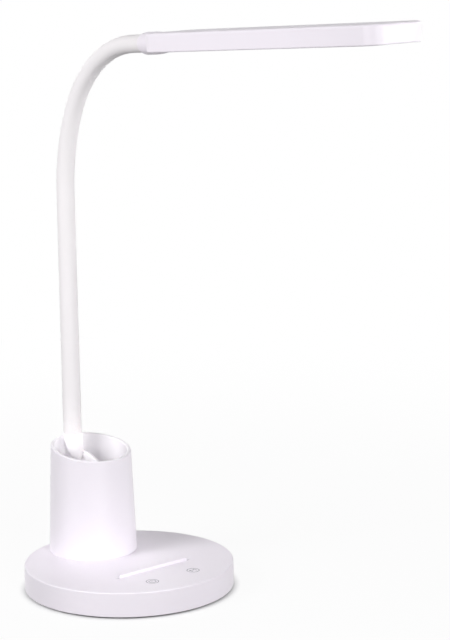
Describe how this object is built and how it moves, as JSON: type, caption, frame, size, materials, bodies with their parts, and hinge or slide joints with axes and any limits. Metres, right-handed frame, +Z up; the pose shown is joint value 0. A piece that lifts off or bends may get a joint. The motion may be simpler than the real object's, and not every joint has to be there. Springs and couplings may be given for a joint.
{
  "type": "desk lamp",
  "caption": "White desk lamp with a round weighted base, a pen cup, a phone rest, touch marks, a silicone-sleeved gooseneck and a slim flat light head.",
  "frame": {"origin": "centre of the base in plan, on the plane that the rubber pad stands on", "axes": "+Z up; -Y towards the user, the way the head reaches; the lamp is symmetrical about X = 0 apart from its printed marks and leads"},
  "size_m": [0.13, 0.305, 0.3606],
  "materials": {
    "white_shell": "semi-gloss white moulding",
    "white_cup": "satin white moulding",
    "white_head": "satin white moulding",
    "white_silicone": "matt white silicone",
    "frosted_panel": "frosted white acrylic",
    "reflector_white": "matt white film",
    "pad_rubber": "dark matt rubber",
    "foam": "conductive foam",
    "printed_mark": "printed grey ink",
    "steel": "plain steel",
    "hose_coat": "white-coated wound steel",
    "zinc": "zinc-plated steel",
    "circuit_board": "solder mask",
    "black_plastic": "matt black moulding",
    "cell_pouch": "laminated pouch",
    "tape": "double-sided tape",
    "wire_jacket": "red wire jacket",
    "led_aluminium": "white-coated aluminium",
    "led_phosphor": "phosphor"
  },
  "bodies": {
    "base": {"ballast_plate": "steel", "base_cover": "white_shell", "base_screws": "zinc", "battery_cell": "cell_pouch", "battery_lead": "wire_jacket", "battery_tape": "tape", "board_parts": "black_plastic", "board_screws": "zinc", "bottom_cover": "white_shell", "charging_inlet": "zinc", "control_board": "circuit_board", "cup_screws": "zinc", "foot_pad": "pad_rubber", "hose_root": "hose_coat", "inlet_board": "circuit_board", "inlet_lead": "wire_jacket", "lead_root": "wire_jacket", "neck_anchor": "zinc", "neck_nut": "zinc", "pen_cup": "white_cup", "phone_rest": "white_shell", "sleeve_root": "white_silicone", "touch_marks": "printed_mark", "touch_pads": "foam"},
    "neck_link_1": {"hose_link_1": "hose_coat", "sleeve_link_1": "white_silicone", "lead_link_1": "wire_jacket"},
    "neck_link_2": {"hose_link_2": "hose_coat", "sleeve_link_2": "white_silicone", "lead_link_2": "wire_jacket"},
    "neck_link_3": {"hose_link_3": "hose_coat", "sleeve_link_3": "white_silicone", "lead_link_3": "wire_jacket"},
    "neck_link_4": {"hose_link_4": "hose_coat", "sleeve_link_4": "white_silicone", "lead_link_4": "wire_jacket"},
    "neck_link_5": {"hose_link_5": "hose_coat", "sleeve_link_5": "white_silicone", "lead_link_5": "wire_jacket"},
    "head": {"diffuser": "frosted_panel", "frame_screws": "zinc", "head_frame": "white_head", "head_housing": "white_head", "hose_head": "hose_coat", "lead_head": "wire_jacket", "led_board": "led_aluminium", "led_screws": "zinc", "leds": "led_phosphor", "neck_ferrule": "white_head", "reflector": "reflector_white", "sleeve_head": "white_silicone", "tang_screws": "zinc"}
  },
  "joints": [
    {"name": "neck_bend_1", "type": "hinge", "parent": "base", "child": "neck_link_1", "pos_m": [0, 0.0549, 0.1022], "axis": [1, 0, 0], "range_deg": [-21, 15]},
    {"name": "neck_sway_2", "type": "hinge", "parent": "neck_link_1", "child": "neck_link_2", "pos_m": [0, 0.0549, 0.15493], "axis": [0, 1, 0], "range_deg": [-15, 15]},
    {"name": "neck_bend_3", "type": "hinge", "parent": "neck_link_2", "child": "neck_link_3", "pos_m": [0, 0.0549, 0.20765], "axis": [1, 0, 0], "range_deg": [-21, 15]},
    {"name": "neck_bend_4", "type": "hinge", "parent": "neck_link_3", "child": "neck_link_4", "pos_m": [0, 0.05352, 0.26031], "axis": [1, 0, 0], "range_deg": [-21, 15]},
    {"name": "neck_sway_5", "type": "hinge", "parent": "neck_link_4", "child": "neck_link_5", "pos_m": [0, 0.03489, 0.30906], "axis": [0, 0.7944, 0.6074], "range_deg": [-15, 15]},
    {"name": "neck_bend_6", "type": "hinge", "parent": "neck_link_5", "child": "head", "pos_m": [0, -0.00868, 0.3366], "axis": [1, 0, 0], "range_deg": [-21, 15]}
  ]
}
